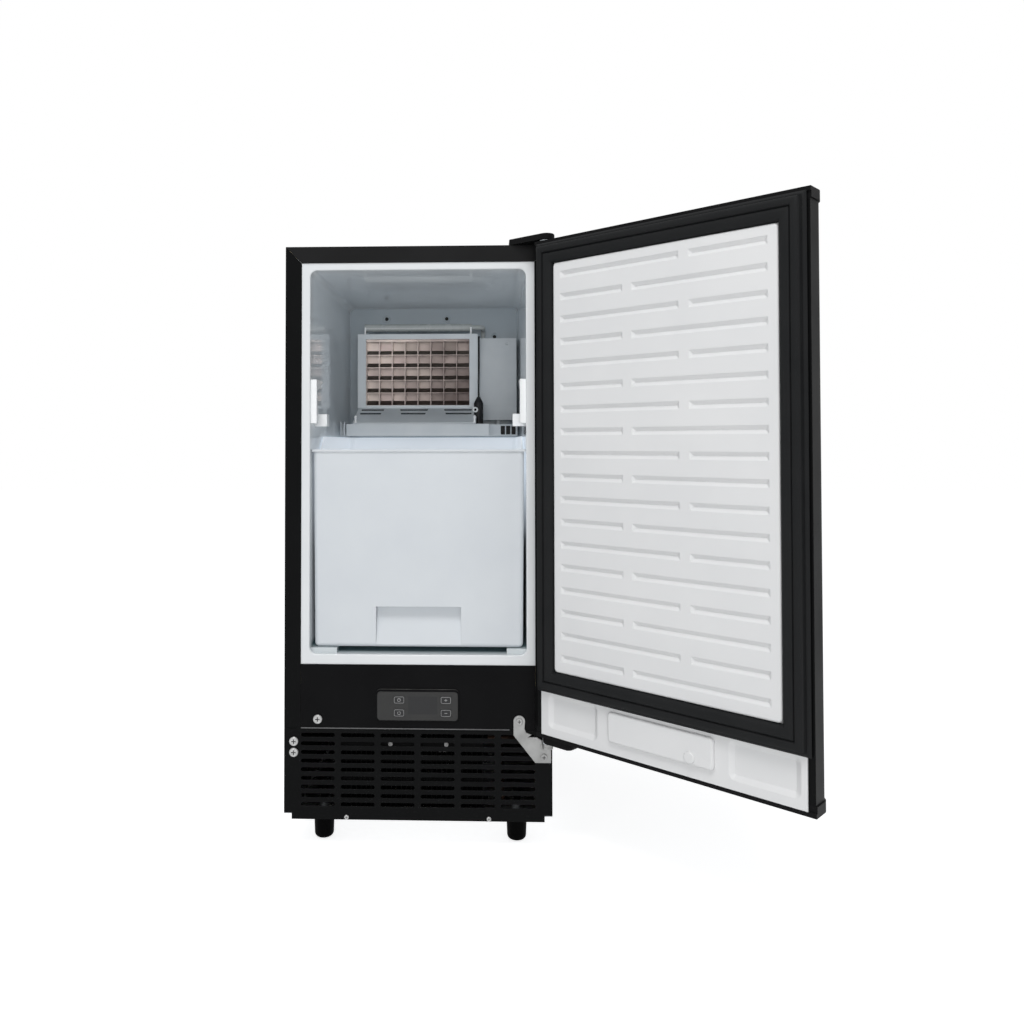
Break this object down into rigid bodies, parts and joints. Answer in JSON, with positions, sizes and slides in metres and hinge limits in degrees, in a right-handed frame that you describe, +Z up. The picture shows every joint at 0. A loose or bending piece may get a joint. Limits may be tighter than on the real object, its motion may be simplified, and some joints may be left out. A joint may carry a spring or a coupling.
{
  "type": "under-counter ice maker",
  "caption": "Under-counter ice maker: black cabinet on levelling legs, white cavity with an evaporator grid above a pull-out ice bin, insulated door on pin hinges.",
  "frame": {"origin": "on the floor, at the centre of the four legs", "axes": "+Z up; -Y towards the front of the cabinet; +X to the right seen from the front; the door stands open at rest"},
  "size_m": [0.6622, 0.7525, 0.8665],
  "materials": {
    "black_coat": "satin powder coat",
    "zinc_sheet": "zinc-plated sheet",
    "black_plastic": "fine satin",
    "white_plastic": "moulded, slightly glossy",
    "foam": "rigid insulation foam",
    "smoked_lens": "smoked, glossy",
    "key_black": "satin",
    "board": "solder mask",
    "plated_steel": "zinc-plated",
    "dark_screw": "black oxide",
    "plated_copper": "nickel-plated copper",
    "copper": "bare copper",
    "fin_metal": "plain",
    "pump_body": "moulded",
    "motor_steel": "black enamel",
    "rubber": "matt",
    "spout_plastic": "moulded"
  },
  "bodies": {
    "cabinet": {"base_pan": "zinc_sheet", "bin_keepers": "white_plastic", "blanking_screws": "plated_steel", "cabinet_foam": "foam", "case_screws": "dark_screw", "cavity_liner": "white_plastic", "circulation_pump": "pump_body", "compressor": "motor_steel", "compressor_mounts": "rubber", "condenser": "fin_metal", "control_board": "board", "control_fascia": "black_plastic", "cord_gland": "black_plastic", "display_lens": "smoked_lens", "drain_hose": "rubber", "drain_spout": "spout_plastic", "evaporator_coil": "copper", "evaporator_frame": "white_plastic", "evaporator_grid": "plated_copper", "fan_motor": "motor_steel", "fan_shroud": "black_plastic", "filter_drier": "copper", "front_grille": "black_coat", "hinge_pins": "plated_steel", "hinge_screws": "plated_steel", "ice_sensor": "black_plastic", "ice_slide": "white_plastic", "inlet_valve": "pump_body", "left_side_panel": "black_coat", "liner_screws": "dark_screw", "lower_hinge_bracket": "plated_steel", "pump_cover": "white_plastic", "pump_hose": "rubber", "rear_panel": "zinc_sheet", "refrigerant_lines": "copper", "right_side_panel": "black_coat", "top_panel": "black_coat", "upper_hinge_bracket": "black_coat", "upper_hinge_cover": "black_plastic", "water_distributor": "white_plastic", "water_trough": "white_plastic"},
    "door": {"door_skin": "black_coat", "door_foam": "foam", "door_liner": "white_plastic", "door_gasket": "rubber", "door_top_cap": "black_plastic", "door_bottom_cap": "black_plastic", "door_bushes": "pump_body", "door_handle": "plated_steel"},
    "bin": {"ice_bin": "white_plastic"},
    "fan": {"fan_blade": "black_plastic"},
    "key_minus": {"key_minus": "key_black"},
    "key_plus": {"key_plus": "key_black"},
    "key_power": {"key_power": "key_black"},
    "key_timer": {"key_timer": "key_black"},
    "leg_front_left": {"leg_front_left": "black_plastic"},
    "leg_front_right": {"leg_front_right": "black_plastic"},
    "leg_rear_left": {"leg_rear_left": "black_plastic"},
    "leg_rear_right": {"leg_rear_right": "black_plastic"}
  },
  "joints": [
    {"name": "door_hinge", "type": "hinge", "parent": "cabinet", "child": "door", "pos_m": [0.182, -0.246, 0.5], "axis": [0, 0, 1], "range_deg": [-138.1, 0]},
    {"name": "bin_slide", "type": "slide", "parent": "cabinet", "child": "bin", "axis": [0, -1, 0], "range_m": [0, 0.28]},
    {"name": "fan_spin", "type": "hinge", "parent": "cabinet", "child": "fan", "pos_m": [-0.014, -0.161, 0.1067], "axis": [0, 1, 0], "continuous": true},
    {"name": "leg_front_left_level", "type": "slide", "parent": "cabinet", "child": "leg_front_left", "axis": [0, 0, -1], "range_m": [0, 0.02]},
    {"name": "leg_front_right_level", "type": "slide", "parent": "cabinet", "child": "leg_front_right", "axis": [0, 0, -1], "range_m": [0, 0.02]},
    {"name": "leg_rear_left_level", "type": "slide", "parent": "cabinet", "child": "leg_rear_left", "axis": [0, 0, -1], "range_m": [0, 0.02]},
    {"name": "leg_rear_right_level", "type": "slide", "parent": "cabinet", "child": "leg_rear_right", "axis": [0, 0, -1], "range_m": [0, 0.02]},
    {"name": "key_minus_press", "type": "slide", "parent": "cabinet", "child": "key_minus", "axis": [0, 1, 0], "range_m": [0, 0.0005], "stiffness_N_per_m": 1500},
    {"name": "key_plus_press", "type": "slide", "parent": "cabinet", "child": "key_plus", "axis": [0, 1, 0], "range_m": [0, 0.0005], "stiffness_N_per_m": 1500},
    {"name": "key_power_press", "type": "slide", "parent": "cabinet", "child": "key_power", "axis": [0, 1, 0], "range_m": [0, 0.0005], "stiffness_N_per_m": 1500},
    {"name": "key_timer_press", "type": "slide", "parent": "cabinet", "child": "key_timer", "axis": [0, 1, 0], "range_m": [0, 0.0005], "stiffness_N_per_m": 1500}
  ]
}
